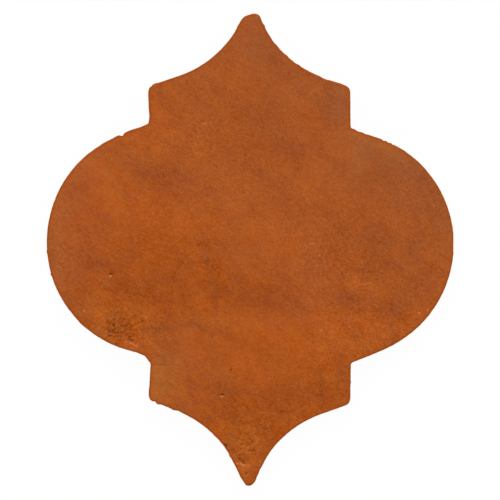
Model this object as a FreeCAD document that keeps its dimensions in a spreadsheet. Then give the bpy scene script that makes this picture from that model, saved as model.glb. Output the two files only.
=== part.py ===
import FreeCAD, Part
import enum
import math
import os

import Sketcher

# Arabesque tile: one slab of fired clay, hand-cut to a lantern outline.
# The frame: face up at +Z, underside on z = 0, the blunt tip towards +Y, origin below the middle of the box.

TILE = "arabesque_tile"

# Driving dimensions in millimetres, and one angle in degrees
SIZES = {
    # the straight-sided block between a lobe and a crown
    "neck_width": 125.6,
    "neck_height": 25,
    # the round lobe to the left and right, and how far it stands out past the neck
    "lobe_radius": 71,
    "lobe_reach": 64.2,
    # the slope of the straight cuts that leave the neck, below it to the lobe and above it to the hollow
    "cut_angle": 20.5,
    # the crowns at both ends: shoulder to tip, the hollow of their sides, and the round of their tips
    "upper_crown_height": 45.5,
    "lower_crown_height": 53,
    "hollow_radius": 68,
    "upper_tip_radius": 6.5,
    "lower_tip_radius": 4.5,
    # corners of the outline, as the cutting wire and the fingers leave them
    "shoulder_radius": 3.5,
    "neck_foot_radius": 1,
    # the slab and its rubbed edges
    "thickness": 18,
    "face_edge_radius": 1.1,
    "base_edge_radius": 0.8,
}

PLACE_TOLERANCE = 0.01


class Point(enum.IntEnum):
    """The points of a stretch of outline that can be tied: its two ends and an arc's centre."""
    START = 1
    END = 2
    CENTRE = 3


class Axis(enum.IntEnum):
    """The sketch's own axes, as it numbers them."""
    X = -1
    Y = -2


ORIGIN = (Axis.X, Point.START)


def fill_sheet(doc):
    """Write the driving dimensions to a sheet, one named cell each."""
    sheet = doc.addObject("Spreadsheet::Sheet", "sizes")
    for row, (name, value) in enumerate(SIZES.items(), start=1):
        sheet.set(f"A{row}", name)
        sheet.set(f"B{row}", str(value))
        sheet.setAlias(f"B{row}", name)
    doc.recompute()
    return sheet


def origin_plane(body, role):
    """The body's own origin plane with this role."""
    return next(plane for plane in body.Origin.OriginFeatures if plane.Role == role)


def corner_heights(sheet):
    """Height of the neck's foot and of its shoulder over the lobes' centre line."""
    slope = math.radians(sheet.cut_angle)
    neck_past_lobe_centre = sheet.lobe_radius - sheet.lobe_reach
    foot = (sheet.lobe_radius - neck_past_lobe_centre * math.sin(slope)) / math.cos(slope)
    return foot, foot + sheet.neck_height


def crown_points(sheet, crown_height, tip_radius):
    """Where cut and hollow meet, the hollow's centre, the tip's centre, and where hollow and tip meet."""
    slope = math.radians(sheet.cut_angle)
    along_cut = FreeCAD.Vector(-math.cos(slope), math.sin(slope), 0)
    off_cut = FreeCAD.Vector(math.sin(slope), math.cos(slope), 0)
    shoulder_height = corner_heights(sheet)[1]
    shoulder = FreeCAD.Vector(sheet.neck_width / 2, shoulder_height, 0)
    tip_centre = FreeCAD.Vector(0, shoulder_height + crown_height - tip_radius, 0)
    # the hollow touches both the cut and the tip, so its centre is both radii away from the tip's centre
    centre_gap = sheet.hollow_radius + tip_radius
    from_tip = shoulder + off_cut * sheet.hollow_radius - tip_centre
    towards = from_tip.dot(along_cut)
    cut_length = -towards - math.sqrt(towards ** 2 - from_tip.dot(from_tip) + centre_gap ** 2)
    cut_end = shoulder + along_cut * cut_length
    hollow_centre = cut_end + off_cut * sheet.hollow_radius
    meeting = tip_centre + (hollow_centre - tip_centre) * (tip_radius / centre_gap)
    return cut_end, hollow_centre, tip_centre, meeting


def arc(centre, first, last):
    """An arc counter-clockwise about a centre, from one point to another."""
    spokes = [point - centre for point in (first, last)]
    angles = [math.atan2(spoke.y, spoke.x) for spoke in spokes]
    circle = Part.Circle(centre, FreeCAD.Vector(0, 0, 1), spokes[0].Length)
    return Part.ArcOfCircle(circle, *angles)


def draw_half_outline(sketch, sheet):
    """Lay the right half of the outline, lower tip to upper tip, and give each stretch its index by name."""
    neck_x = sheet.neck_width / 2
    foot_height, shoulder_height = corner_heights(sheet)
    lobe_centre = FreeCAD.Vector(neck_x + sheet.lobe_reach - sheet.lobe_radius, 0, 0)
    slope = math.radians(sheet.cut_angle)
    lobe_spoke = FreeCAD.Vector(math.sin(slope), math.cos(slope), 0) * sheet.lobe_radius

    names = {}
    tips = {}
    lobe_ends = {}
    for half, side in (("lower", -1), ("upper", 1)):
        def place(point):
            return FreeCAD.Vector(point.x, side * point.y, 0)

        crown_height = sheet.get(f"{half}_crown_height")
        crown = crown_points(sheet, crown_height, sheet.get(f"{half}_tip_radius"))
        cut_end, hollow_centre, tip_centre, meeting = map(place, crown)
        foot = place(FreeCAD.Vector(neck_x, foot_height, 0))
        shoulder = place(FreeCAD.Vector(neck_x, shoulder_height, 0))
        tips[half] = place(FreeCAD.Vector(0, shoulder_height + crown_height, 0))
        lobe_ends[half] = lobe_centre + place(lobe_spoke)
        # an arc runs counter-clockwise, so the two ends of the tile lie the other way round
        tip_ends = (tips[half], meeting)[::-side]
        hollow_ends = (cut_end, meeting)[::-side]
        stretches = {
            "tip": arc(tip_centre, *tip_ends),
            "hollow": arc(hollow_centre, *hollow_ends),
            "shoulder_cut": Part.LineSegment(cut_end, shoulder),
            "neck": Part.LineSegment(shoulder, foot),
            "lobe_cut": Part.LineSegment(foot, lobe_ends[half]),
        }
        for name, curve in stretches.items():
            names[f"{half}_{name}"] = sketch.addGeometry(curve, False)
    names["lobe"] = sketch.addGeometry(arc(lobe_centre, lobe_ends["lower"], lobe_ends["upper"]), False)
    names["centre_line"] = sketch.addGeometry(Part.LineSegment(tips["upper"], tips["lower"]), False)
    return names


def constrain_half_outline(sketch, names):
    """Tie the stretches end to end and bind every size to its cell."""
    def tie(kind, *arguments):
        return sketch.addConstraint(Sketcher.Constraint(kind, *arguments))

    def bind(kind, name, arguments, value, expression):
        index = tie(kind, *arguments, value)
        sketch.renameConstraint(index, name)
        sketch.setExpression(f"Constraints.{name}", expression)

    lobe = names["lobe"]
    centre_line = names["centre_line"]
    for half, side in (("lower", -1), ("upper", 1)):
        tip, hollow, shoulder_cut, neck, lobe_cut = (
            names[f"{half}_{stretch}"] for stretch in ("tip", "hollow", "shoulder_cut", "neck", "lobe_cut"))
        apex, tip_meeting = (Point.START, Point.END)[::-side]
        hollow_at_cut, hollow_at_tip = (Point.START, Point.END)[::-side]
        lobe_end, line_end = (Point.START, Point.END) if side < 0 else (Point.END, Point.START)

        tie("Coincident", centre_line, line_end, tip, apex)
        tie("Tangent", tip, tip_meeting, hollow, hollow_at_tip)
        tie("Tangent", hollow, hollow_at_cut, shoulder_cut, Point.START)
        tie("Coincident", shoulder_cut, Point.END, neck, Point.START)
        tie("Coincident", neck, Point.END, lobe_cut, Point.START)
        tie("Tangent", lobe_cut, Point.END, lobe, lobe_end)
        tie("PointOnObject", tip, apex, Axis.Y)
        tie("PointOnObject", tip, Point.CENTRE, Axis.Y)
        tie("Vertical", neck)
        tie("Parallel", shoulder_cut, lobe_cut)

        foot = sketch.getPoint(neck, Point.END)
        shoulder = sketch.getPoint(neck, Point.START)
        cut_rise = sketch.getPoint(lobe_cut, Point.END) - foot
        bind("DistanceX", f"{half}_neck_x", (*ORIGIN, neck, Point.END), foot.x, "sizes.neck_width / 2")
        rising = (neck, Point.END, neck, Point.START) if side > 0 else (neck, Point.START, neck, Point.END)
        bind("DistanceY", f"{half}_neck_height", rising, abs(shoulder.y - foot.y), "sizes.neck_height")
        bind("Angle", f"{half}_cut_angle", (lobe_cut,), math.atan2(cut_rise.y, cut_rise.x),
             f"{-side} * sizes.cut_angle * 1 deg")
        rising = (neck, Point.START, tip, apex) if side > 0 else (tip, apex, neck, Point.START)
        bind("DistanceY", f"{half}_crown_height", rising, abs(sketch.getPoint(tip, apex).y - shoulder.y),
             f"sizes.{half}_crown_height")
        tip_radius = sketch.Geometry[tip].Radius
        bind("Radius", f"{half}_tip_radius", (tip,), tip_radius, f"sizes.{half}_tip_radius")
        hollow_radius = sketch.Geometry[hollow].Radius
        bind("Radius", f"{half}_hollow_radius", (hollow,), hollow_radius, "sizes.hollow_radius")

    tie("PointOnObject", lobe, Point.CENTRE, Axis.X)
    bind("Radius", "lobe_radius", (lobe,), sketch.Geometry[lobe].Radius, "sizes.lobe_radius")
    lobe_centre = sketch.getPoint(lobe, Point.CENTRE)
    bind("DistanceX", "lobe_centre_x", (*ORIGIN, lobe, Point.CENTRE), lobe_centre.x,
         "sizes.neck_width / 2 + sizes.lobe_reach - sizes.lobe_radius")


def upright_edges(shape, half_width, heights):
    """Names of the upright edges at the necks' sides, at these distances from the centre line."""
    found = []
    for number, edge in enumerate(shape.Edges, start=1):
        middle = edge.CenterOfMass
        upright = edge.BoundBox.ZLength > max(edge.BoundBox.XLength, edge.BoundBox.YLength)
        at_neck = abs(abs(middle.x) - half_width) < PLACE_TOLERANCE
        at_height = any(abs(abs(middle.y) - height) < PLACE_TOLERANCE for height in heights)
        if upright and at_neck and at_height:
            found.append(f"Edge{number}")
    return found


def rim_edges(shape, level):
    """Names of the edges that lie flat at this level."""
    found = []
    for number, edge in enumerate(shape.Edges, start=1):
        box = edge.BoundBox
        if abs(box.ZMin - level) < PLACE_TOLERANCE and abs(box.ZMax - level) < PLACE_TOLERANCE:
            found.append(f"Edge{number}")
    return found


def add_fillet(body, name, base, edges, radius_cell):
    """Round the named edges of the last feature."""
    fillet = body.newObject("PartDesign::Fillet", name)
    fillet.Base = (base, edges)
    fillet.setExpression("Radius", f"sizes.{radius_cell}")
    body.Document.recompute()
    return fillet


def make_tile(doc, sheet):
    """The whole tile: half outline, slab, mirror image, then the rounded corners and edges."""
    body = doc.addObject("PartDesign::Body", TILE)
    body.Label = TILE

    outline = body.newObject("Sketcher::SketchObject", "half_outline")
    outline.AttachmentSupport = [(origin_plane(body, "XY_Plane"), "")]
    outline.MapMode = "FlatFace"
    names = draw_half_outline(outline, sheet)
    constrain_half_outline(outline, names)
    doc.recompute()
    if not outline.FullyConstrained:
        raise RuntimeError("the half outline isn't fully constrained")

    slab = body.newObject("PartDesign::Pad", "half_slab")
    slab.Profile = outline
    slab.setExpression("Length", "sizes.thickness")
    doc.recompute()

    whole = body.newObject("PartDesign::Mirrored", "whole_slab")
    whole.Originals = [slab]
    whole.MirrorPlane = (origin_plane(body, "YZ_Plane"), [""])
    whole.Refine = True
    body.Tip = whole
    doc.recompute()

    foot_height, shoulder_height = corner_heights(sheet)
    half_neck = sheet.neck_width / 2
    shoulders = upright_edges(whole.Shape, half_neck, [shoulder_height])
    rounded = add_fillet(body, "shoulder_rounds", whole, shoulders, "shoulder_radius")
    feet = upright_edges(rounded.Shape, half_neck, [foot_height])
    rounded = add_fillet(body, "neck_foot_rounds", rounded, feet, "neck_foot_radius")
    face_rim = rim_edges(rounded.Shape, sheet.thickness)
    rounded = add_fillet(body, "face_edge", rounded, face_rim, "face_edge_radius")
    base_rim = rim_edges(rounded.Shape, 0)
    rounded = add_fillet(body, "base_edge", rounded, base_rim, "base_edge_radius")
    body.Tip = rounded

    # the lower crown is the taller one, so the middle of the box lies below the lobes' centre line
    middle_shift = "(sizes.lower_crown_height - sizes.upper_crown_height) / 2"
    body.setExpression("Placement.Base.y", middle_shift)
    doc.recompute()
    return body


def check(doc, bodies):
    """Stop if any object failed or any shape is unsound."""
    for item in doc.Objects:
        if {"Invalid", "Error"} & set(item.State):
            raise RuntimeError(f"{item.Name}: {item.State}")
    for body in bodies:
        if body.Shape.isNull() or not body.Shape.isValid() or len(body.Shape.Solids) != 1:
            raise RuntimeError(f"{body.Label}: not one sound solid")


def main():
    doc = FreeCAD.newDocument("arabesque_tile")
    sheet = fill_sheet(doc)
    bodies = [make_tile(doc, sheet)]
    check(doc, bodies)
    os.makedirs("parts", exist_ok=True)
    for body in bodies:
        body.Shape.exportStep(os.path.join("parts", f"{body.Label}.step"))
        box = body.Shape.optimalBoundingBox(False)
        print(f"{body.Label}: {box.XLength:.2f} x {box.YLength:.2f} x {box.ZLength:.2f} mm,",
              f"{body.Shape.Volume / 1000:.1f} cm3")


main()
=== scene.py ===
# %% [markdown]
# An arabesque floor tile: one slab of hand-made clay, cut to a lantern outline, fired, and rubbed with a
# brown stain. It could be modelled from nothing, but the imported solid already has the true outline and
# size. So this lesson starts from the solid and adds only what hands and kiln did: corners that drifted, a
# nibbled edge, a rubbed face, and clouds of stain. All is in metres, in the solid's frame, with the face up.

# %% Load the frame
import math
from collections import namedtuple

import bmesh
import bpy
import numpy as np
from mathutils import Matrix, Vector, geometry, kdtree, noise


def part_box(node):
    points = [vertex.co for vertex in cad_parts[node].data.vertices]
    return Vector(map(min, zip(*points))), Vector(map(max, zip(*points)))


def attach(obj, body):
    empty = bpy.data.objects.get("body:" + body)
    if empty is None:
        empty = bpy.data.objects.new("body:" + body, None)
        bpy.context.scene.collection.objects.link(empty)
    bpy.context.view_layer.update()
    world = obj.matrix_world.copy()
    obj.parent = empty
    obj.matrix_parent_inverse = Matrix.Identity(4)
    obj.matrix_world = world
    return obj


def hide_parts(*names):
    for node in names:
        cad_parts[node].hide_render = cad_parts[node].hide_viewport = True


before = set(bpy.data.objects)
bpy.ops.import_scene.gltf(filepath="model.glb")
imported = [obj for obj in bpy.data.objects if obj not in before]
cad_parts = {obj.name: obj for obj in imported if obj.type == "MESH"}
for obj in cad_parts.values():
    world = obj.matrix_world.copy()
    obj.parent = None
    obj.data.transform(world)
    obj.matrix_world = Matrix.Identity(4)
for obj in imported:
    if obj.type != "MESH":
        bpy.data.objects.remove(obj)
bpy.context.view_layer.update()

MM = 0.001
TILE = "arabesque_tile"
BOX_LOW, BOX_HIGH = (np.array(corner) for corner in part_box(TILE))
THICKNESS = BOX_HIGH[2]
print("solid of", np.round((BOX_HIGH - BOX_LOW) / MM, 2), "mm")

# %% [markdown]
# The photograph looks straight down on the face, so one scale holds for all of it. That makes a pixel a
# handy measure: at_pixel turns a place seen in the photograph into a place on the tile. The camera could be
# orthographic, but a long lens over the middle is nearer to a real one. From there the base looks a little
# smaller than the face, so the walls stay hidden behind it.

# %% Camera over the face
PIXEL = 0.625 * MM
PICTURE_MIDDLE = (250, 250)
BOX_MIDDLE_PIXEL = np.array([250.0, 249.9])
# the outline shows at the foot of the rubbed edge, below the face, so the picture spans a little less than
# 500 pixels
PICTURE_SPAN = 311.5 * MM
LENS = 100
SENSOR = 36


def at_pixel(x, y):
    """The place on the tile, from its middle, that this pixel of the photograph shows."""
    return (np.array([x, y]) - BOX_MIDDLE_PIXEL) * (PIXEL, -PIXEL)


def add_object(name, data):
    """Put mesh, lamp or camera data into the scene as an object."""
    made = bpy.data.objects.new(name, data)
    bpy.context.scene.collection.objects.link(made)
    return made


camera = add_object("camera_over_the_face", bpy.data.cameras.new("camera_over_the_face"))
camera.data.lens = LENS
camera.data.sensor_width = SENSOR
camera_height = PICTURE_SPAN * LENS / SENSOR
camera.location = (*at_pixel(*PICTURE_MIDDLE), THICKNESS + camera_height)
bpy.context.scene.camera = camera
print("camera", round(camera_height, 3), "m over the face")

# %% [markdown]
# The outline is the line that the clay was cut along. It could be drawn again from the photograph, but then
# the scene and the solid would part when a size changes. So a copy of the solid is cut level at half its
# height. That leaves one closed line of edges, which is walked from point to point.

# %% Cut line of the solid
SAME_POINT = 0.001 * MM


def cut_line(solid, height):
    """The closed line that a level cut leaves on a solid, as points in walking order."""
    copy = bmesh.new()
    copy.from_mesh(solid.data)
    bmesh.ops.remove_doubles(copy, verts=copy.verts, dist=SAME_POINT)
    whole = copy.verts[:] + copy.edges[:] + copy.faces[:]
    cut = bmesh.ops.bisect_plane(copy, geom=whole, plane_co=(0, 0, height), plane_no=(0, 0, 1))["geom_cut"]
    beside = {}
    for edge in cut:
        if isinstance(edge, bmesh.types.BMEdge):
            one, other = edge.verts
            beside.setdefault(one, []).append(other)
            beside.setdefault(other, []).append(one)
    start = here = next(iter(beside))
    before = beside[start][0]
    walked = []
    while not walked or here != start:
        walked.append(here.co.xy[:])
        ahead = next(place for place in beside[here] if place != before)
        before, here = here, ahead
    copy.free()
    return np.array(walked)


solid_line = cut_line(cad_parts[TILE], THICKNESS / 2)
print("cut line of", len(solid_line), "points")

# %% [markdown]
# The solid has many points on its curves and few on its straights, but a nick can be anywhere. So the line is
# laid out again in even steps, fine enough for the smallest nick. A curve object could be resampled to the
# same end; plain arrays are easier to add to in the next steps. A few rounds of averaging take out the
# solid's flat facets.

# %% Even ring of points
RING_STEP = 0.55 * MM
FACET_SMOOTHING = 3


def even_ring(line, step):
    """A closed line again, in even steps, counter-clockwise."""
    closed = np.vstack([line, line[:1]])
    along = np.concatenate([[0], np.cumsum(np.linalg.norm(np.diff(closed, axis=0), axis=1))])
    places = np.linspace(0, along[-1], round(along[-1] / step), endpoint=False)
    ring = np.column_stack([np.interp(places, along, closed[:, axis]) for axis in (0, 1)])
    ahead = np.roll(ring, -1, axis=0)
    turning = (ring[:, 0] * ahead[:, 1] - ahead[:, 0] * ring[:, 1]).sum()
    return ring if turning > 0 else ring[::-1]


def averaged(ring, rounds):
    """Values along a closed ring, each evened out with its two neighbours."""
    for _ in range(rounds):
        ring = ring / 2 + (np.roll(ring, 1, axis=0) + np.roll(ring, -1, axis=0)) / 4
    return ring


true_outline = averaged(even_ring(solid_line, RING_STEP), FACET_SMOOTHING)
print("outline of", len(true_outline), "points")

# %% [markdown]
# A hand-cut slab is never quite even. The clay gives when it is lifted, so each corner sits a little off its
# place, and the stretches between follow. Points could be moved one by one, but that leaves kinks. A soft
# pull at each corner, a shift that fades with distance, moves the whole neighbourhood together.

# %% Corners that drifted
PULL_REACH = 30 * MM
# the pixel of each corner, and its shift in millimetres to the right and up
CORNER_DRIFT = {
    "upper_tip": ((250, 15), (1.0, 0.3)),
    "lower_tip": ((250, 485), (-0.8, 0.1)),
    "left_lobe": ((47, 244), (0.2, 0.6)),
    "right_lobe": ((453, 244), (0.2, 0.0)),
    "upper_left_shoulder": ((149, 87), (0.0, -0.4)),
    "upper_right_shoulder": ((350, 87), (-0.2, -0.2)),
    "lower_left_shoulder": ((149, 401), (-0.2, -0.1)),
    "lower_right_shoulder": ((350, 401), (-0.1, -1.0)),
    "upper_left_foot": ((149, 127), (-0.6, 1.6)),
    "upper_right_foot": ((350, 127), (0.1, -0.9)),
    "lower_left_foot": ((149, 361), (0.5, 1.7)),
    "lower_right_foot": ((350, 361), (0.2, -0.6)),
    "upper_left_lobe": ((80, 164), (-0.7, 0.6)),
    "upper_right_lobe": ((420, 164), (0.2, -0.2)),
    "lower_left_lobe": ((80, 324), (0.2, 0.9)),
    "lower_right_lobe": ((420, 324), (0.4, 0.0)),
    "upper_left_hollow": ((205, 65), (0.2, -0.5)),
    "upper_right_hollow": ((295, 65), (-0.4, -0.3)),
    "lower_left_hollow": ((205, 423), (-0.5, 0.4)),
    "lower_right_hollow": ((295, 423), (-0.7, -0.7)),
}


def near(points, pixel, reach):
    """How close points lie to a pixel's place: 1 there, fading over the reach."""
    away = np.linalg.norm(points - at_pixel(*pixel), axis=1)
    return np.exp(-(away / reach) ** 2)


drifted = true_outline.copy()
for pixel, shift in CORNER_DRIFT.values():
    drifted += near(true_outline, pixel, PULL_REACH)[:, None] * np.multiply(shift, MM)
print("corners drift by up to", round(np.linalg.norm(drifted - true_outline, axis=1).max() / MM, 2), "mm")

# %% [markdown]
# The edge itself is nibbled: crumbs came away where the knife left a burr, and some burrs stayed. Noise alone
# could roughen it, but the eye knows this tile by its few large marks. So the ones that show are listed one
# by one, each with its place, width and height.

# %% Marks along the edge
# pixel, half its width in millimetres, and how far it stands out in millimetres (below zero it is a nick)
EDGE_MARKS = {
    "worn_upper_tip": ((248.7, 14.2), 3.2, -0.7),
    "burr_upper_tip": ((258.2, 16.5), 2.9, 0.65),
    "burr_below_upper_tip": ((264, 26.2), 1.2, 0.5),
    "dip_upper_right_hollow": ((273.5, 41.6), 2.0, -0.3),
    "burr_upper_right_hollow": ((286.7, 56.2), 1.4, 0.3),
    "burr_upper_right_bend": ((299, 65.8), 1.2, 0.3),
    "dip_upper_right_cut": ((325.5, 78.5), 3.2, -0.55),
    "burr_upper_right_cut": ((341.5, 84.6), 2.6, 0.4),
    "fill_upper_right_foot": ((353.7, 129.5), 1.0, 0.3),
    "dip_past_upper_right_foot": ((358, 131), 1.4, -0.3),
    "dip_right_lobe": ((365.5, 133.8), 1.6, -0.25),
    "nibble_right_lobe_first": ((383.3, 140.1), 0.8, -0.4),
    "nibble_right_lobe_second": ((388.1, 142.1), 0.8, -0.4),
    "nibble_right_lobe_third": ((392.6, 144.2), 0.8, -0.35),
    "burr_lower_right_neck": ((350.5, 381.6), 0.7, 0.3),
    "worn_lower_right_shoulder": ((349.8, 401.4), 1.4, -0.35),
    "swell_lower_right_hollow": ((263, 463.5), 3.5, 0.3),
    "burr_lower_tip": ((258.3, 473.2), 1.2, 0.3),
    "worn_lower_tip_right": ((253, 484), 2.2, -0.3),
    "worn_lower_tip_left": ((243, 482.2), 2.6, -0.85),
    "swell_lower_left_hollow": ((234, 463.5), 6.5, 0.4),
    "burr_lower_left_hollow": ((230.3, 455.6), 1.4, 0.4),
    "dip_lower_left_cut": ((178.5, 411.3), 1.5, -0.3),
    "burr_lower_left_cut": ((173.3, 409.2), 1.5, 0.45),
    "burr_lower_left_shoulder": ((158.3, 403.3), 1.4, 0.6),
    "crumb_lower_left_shoulder": ((154.8, 401.9), 0.6, -0.7),
    "burr_lower_left_neck": ((149.4, 392.8), 4.2, 0.4),
    "dip_lower_left_neck": ((150, 366), 4.3, -0.3),
    "fill_lower_left_foot": ((148.7, 359.5), 1.4, 1.95),
    "edge_before_left_foot": ((147.1, 356.5), 0.9, 0.6),
    "dip_before_left_foot": ((137.2, 353.6), 6.4, -0.55),
    "swell_lower_left_lobe": ((82, 324), 3.6, 0.3),
    "burr_left_lobe": ((51.6, 274.6), 1.0, 0.45),
    "burr_left_end": ((47.5, 251.6), 0.9, 0.3),
    "burr_past_nick": ((117.8, 136.3), 2.6, 0.35),
    "nick_left_lobe": ((122, 134.6), 1.2, -1.2),
    "burr_before_nick": ((131, 131), 5.0, 0.5),
    "fill_upper_left_foot": ((146.5, 125), 1.8, 0.45),
    "dip_upper_left_neck": ((148.6, 116.5), 4.2, -0.5),
    "burr_upper_left_neck": ((148.9, 95), 3.4, 0.4),
    "worn_upper_left_shoulder": ((150.9, 86.2), 1.2, -0.35),
    "burr_upper_left_shoulder": ((155.5, 84), 1.6, 0.3),
    "burr_upper_left_hollow": ((239.3, 25), 4.2, 0.5),
}
print(len(EDGE_MARKS), "marks along the edge")

# %% [markdown]
# Each mark pushes the outline along its own outward direction, and two layers of fine noise roughen the rest.
# Cutting the marks out with booleans would leave torn faces to mend; moving points can't. The solid's box
# stays the limit, because it is the tile's real size.

# %% Nibbled outline
# size of one bump in millimetres, and its depth
NIBBLES = ((4.0, 0.08), (1.6, 0.10))
NIBBLE_SEED = 3.7
NORMAL_SMOOTHING = 6


def outward(ring):
    """Directions out of the clay along a counter-clockwise ring."""
    along = np.roll(ring, -1, axis=0) - np.roll(ring, 1, axis=0)
    out = np.column_stack([along[:, 1], -along[:, 0]])
    return out / np.linalg.norm(out, axis=1, keepdims=True)


def noise_along(points, size, seed):
    """Smooth noise from -1 to 1 at flat points, with bumps of this size."""
    return np.array([noise.noise(Vector((x / size, y / size, seed))) for x, y in points])


out = averaged(outward(drifted), NORMAL_SMOOTHING)
stands_out = np.zeros(len(drifted))
for pixel, half_width, height in EDGE_MARKS.values():
    stands_out += near(drifted, pixel, half_width * MM) * height * MM
for layer, (size, depth) in enumerate(NIBBLES):
    stands_out += noise_along(drifted, size * MM, NIBBLE_SEED + layer) * depth * MM
outline = np.clip(drifted + out * stands_out[:, None], BOX_LOW[:2], BOX_HIGH[:2])
print("edge moved by", np.round([stands_out.min() / MM, stands_out.max() / MM], 2), "mm")

# %% [markdown]
# Seen from the side, the slab is a plain wall between two rubbed edges. A Bevel modifier could round them all
# alike, but a thumb doesn't. So the wall is built like a stack of hoops: each row is the outline, drawn in by
# some inset at some height, and the round of the face edge wanders. The wall only sinks in, so that it keeps
# to the solid's size.

# %% Rows of the wall and its rubbed edges
FACE_ROUND = 1.1 * MM
FACE_ROUND_WANDER = 0.35 * MM
ROUND_WANDER_SIZE = 14 * MM
ROUND_SEED = 11.3
BASE_ROUND = 0.8 * MM
ROUND_STEPS = 5
WALL_ROWS = 8
DRAG_SIZE = 6 * MM
DRAG_DEPTH = 0.15 * MM
DRAG_SEED = 20

inward = -averaged(outward(outline), NORMAL_SMOOTHING)
inward /= np.linalg.norm(inward, axis=1, keepdims=True)
face_round = FACE_ROUND + FACE_ROUND_WANDER * noise_along(outline, ROUND_WANDER_SIZE, ROUND_SEED)
rows = []


def add_row(inset, height):
    """Add the outline drawn in by an inset, at a height; both may differ from point to point."""
    flat = outline + inward * np.broadcast_to(inset, len(outline))[:, None]
    rows.append(np.column_stack([flat, np.broadcast_to(height, len(outline))]))


quarter_turn = np.linspace(0, math.pi / 2, ROUND_STEPS + 1)
for turn in quarter_turn:
    add_row(BASE_ROUND * (1 - math.sin(turn)), BASE_ROUND * (1 - math.cos(turn)))
for share in np.linspace(0, 1, WALL_ROWS + 1)[1:-1]:
    height = BASE_ROUND + share * (THICKNESS - face_round - BASE_ROUND)
    drag = noise_along(outline, DRAG_SIZE, DRAG_SEED + share) + 1
    add_row(DRAG_DEPTH / 2 * drag * math.sin(math.pi * share), height)
for turn in quarter_turn:
    add_row(face_round * (1 - math.cos(turn)), THICKNESS - face_round * (1 - math.sin(turn)))
print(len(rows), "rows of", len(outline), "points")

# %% [markdown]
# Dark pits mark the face where a grain of lime or straw burnt out, or where the clay tore. Each sinks the face,
# and is later darkened by dirt and by a painted shade. They could be strewn at random, but two pinholes and
# the torn patches are what one remembers of this tile. So each has its own place. The mesh has to be finer
# there, which is why they come before the face is filled.

# %% Pits
Mark = namedtuple("Mark", "x y half_length half_width turn strength")
# pixels, turn in degrees clockwise, and a share of the full depth, of the dirt and of the painted shade
PITS = {
    "left_lobe_pinhole": Mark(110.9, 274.2, 2.4, 1.3, -18, 1.0),
    "crown_pinhole": Mark(222.0, 394.3, 2.0, 1.2, -5, 1.0),
    "torn_deep": Mark(114.0, 325.6, 1.4, 2.6, 0, 0.74),
    "torn_streak": Mark(108.8, 321, 6.5, 2.4, 45, 0.5),
    "torn_left_low": Mark(111, 331.8, 3.2, 3.0, 10, 0.45),
    "torn_middle_low": Mark(117, 332.4, 2.8, 1.6, 5, 0.62),
    "torn_left_end": Mark(110, 336, 3.2, 1.6, -10, 0.4),
    "torn_hollow": Mark(130.4, 338.8, 2.8, 5.2, -32, 0.72),
    "torn_right_high": Mark(141, 321.6, 4.6, 2.0, -8, 0.52),
    "torn_right_low": Mark(141, 330, 2.8, 2.0, -15, 0.5),
    "torn_right_end": Mark(143.5, 339, 2.6, 1.3, 5, 0.45),
    "torn_rim": Mark(116.5, 343.8, 2.6, 1.2, 25, 0.8),
    "tip_streak": Mark(252.7, 441, 3.2, 1.2, -5, 0.55),
    "tip_line": Mark(248, 450, 4.0, 1.0, 0, 0.35),
    "tip_hollow": Mark(241.3, 459.5, 5.6, 3.2, 48, 0.6),
    "tip_spot": Mark(246.6, 472, 1.9, 1.7, 0, 0.55),
    "tip_left_edge": Mark(225.5, 445, 2.6, 1.6, 50, 0.95),
    "tip_right_edge": Mark(269.5, 446.5, 2.2, 1.8, 0, 0.45),
    "tip_end": Mark(249.5, 484, 2.2, 1.0, 0, 0.85),
    "dark_speck": Mark(232, 314, 1.2, 1.0, 0, 0.55),
    "low_middle_speck": Mark(231, 369.4, 1.3, 3.6, 12, 0.55),
    "neck_crease": Mark(163, 365, 12, 1.0, 3, 0.45),
    "left_end_scratch": Mark(61, 265.5, 6, 0.9, 42, 0.36),
    "neck_scratch": Mark(173, 387, 6, 0.9, 42, 0.36),
    "right_foot_scratch": Mark(398, 333, 6, 0.9, 14, 0.36),
    "heart_scratch": Mark(313, 242, 6, 0.9, 0, 0.34),
}
print(len(PITS), "pits")
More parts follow.
